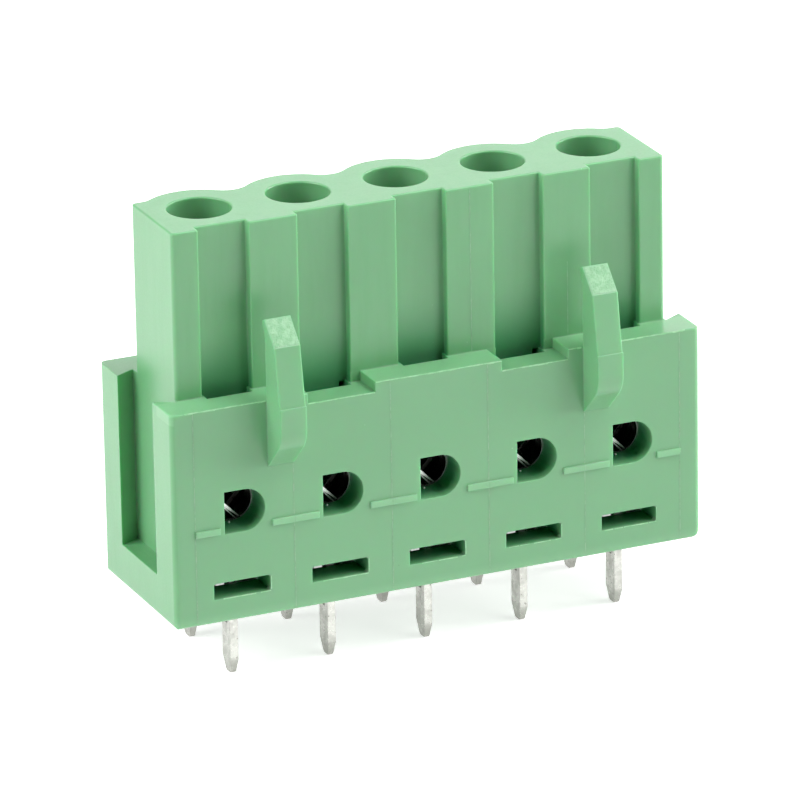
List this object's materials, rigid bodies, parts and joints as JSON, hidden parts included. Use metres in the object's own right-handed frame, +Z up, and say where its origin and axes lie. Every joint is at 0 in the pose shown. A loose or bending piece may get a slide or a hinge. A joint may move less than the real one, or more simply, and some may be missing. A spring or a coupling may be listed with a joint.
{
  "type": "pluggable terminal block socket header",
  "caption": "Board-mounted socket half of a pluggable terminal block: tall row of round sockets on a low green base with latch hooks and double solder legs.",
  "frame": {"origin": "centre of the solder-leg pattern, on the surface of the board that the base sits on", "axes": "+X along the row of poles, +Y from the latch side to the back, +Z up out of the board, the way a plug leaves the sockets"},
  "size_m": [0.0276, 0.0105, 0.0227],
  "materials": {
    "moulding": "semi-matt moulded green polyamide, slightly translucent at thin edges",
    "contact_metal": "bright tin over copper alloy, faint rolling marks",
    "spring_steel": "bright stainless spring sheet"
  },
  "bodies": {
    "root": {"housing": "moulding", "contact_1": "contact_metal", "contact_2": "contact_metal", "contact_3": "contact_metal", "contact_4": "contact_metal", "contact_5": "contact_metal", "contact_spring_1": "spring_steel", "contact_spring_2": "spring_steel", "contact_spring_3": "spring_steel", "contact_spring_4": "spring_steel", "contact_spring_5": "spring_steel"}
  },
  "joints": []
}
